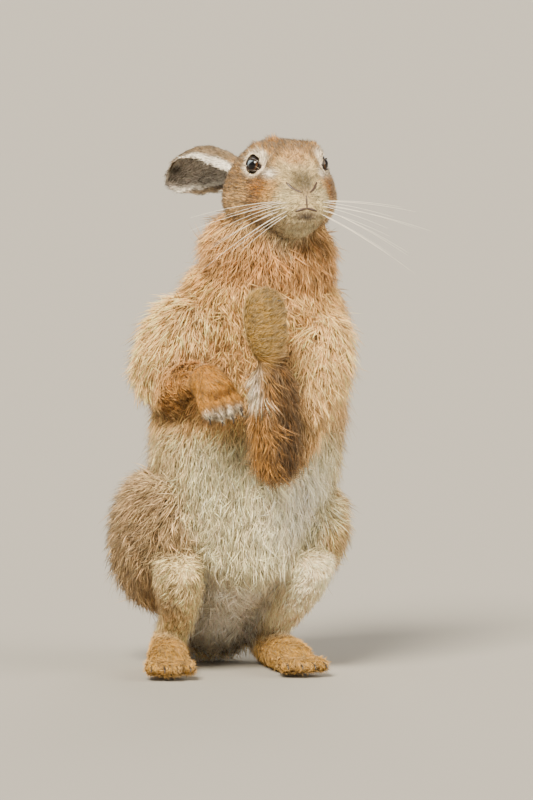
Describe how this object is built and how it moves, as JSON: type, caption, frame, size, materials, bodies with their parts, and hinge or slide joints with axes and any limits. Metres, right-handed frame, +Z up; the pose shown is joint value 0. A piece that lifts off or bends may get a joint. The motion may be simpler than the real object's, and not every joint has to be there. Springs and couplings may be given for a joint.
{
  "type": "brown hare",
  "caption": "Life-size still model of a brown hare that sits up on its haunches, one forepaw raised, one ear turned out.",
  "frame": {"origin": "centre of the hare's outline on the floor that it sits on", "axes": "+Z up along the upright body, the hare faces -Y and its left side is +X"},
  "size_m": [0.245, 0.309, 0.4485],
  "materials": {
    "tawny_fur": "soft fur, tawny with dark tips",
    "cream_fur": "soft pale belly and muzzle fur",
    "sandy_fur": "short sandy fur",
    "grizzled_fur": "short grizzled fur",
    "eye": "wet, glossy",
    "claw": "dark horn, satin",
    "whisker": "pale stiff hair",
    "skin": "bare dark skin of lids, nose slits and lips"
  },
  "bodies": {
    "root": {"head": "grizzled_fur", "muzzle": "cream_fur", "neck": "tawny_fur", "chest": "tawny_fur", "abdomen": "cream_fur", "tail": "cream_fur", "ear_right": "grizzled_fur", "ear_left": "grizzled_fur", "eye_right": "eye", "eye_left": "eye", "upper_arm_right": "tawny_fur", "upper_arm_left": "tawny_fur", "forearm_right": "sandy_fur", "forearm_left": "sandy_fur", "forepaw_right": "sandy_fur", "forepaw_left": "sandy_fur", "thigh_right": "tawny_fur", "thigh_left": "tawny_fur", "shank_right": "sandy_fur", "shank_left": "sandy_fur", "hindfoot_right": "sandy_fur", "hindfoot_left": "sandy_fur"}
  },
  "joints": []
}
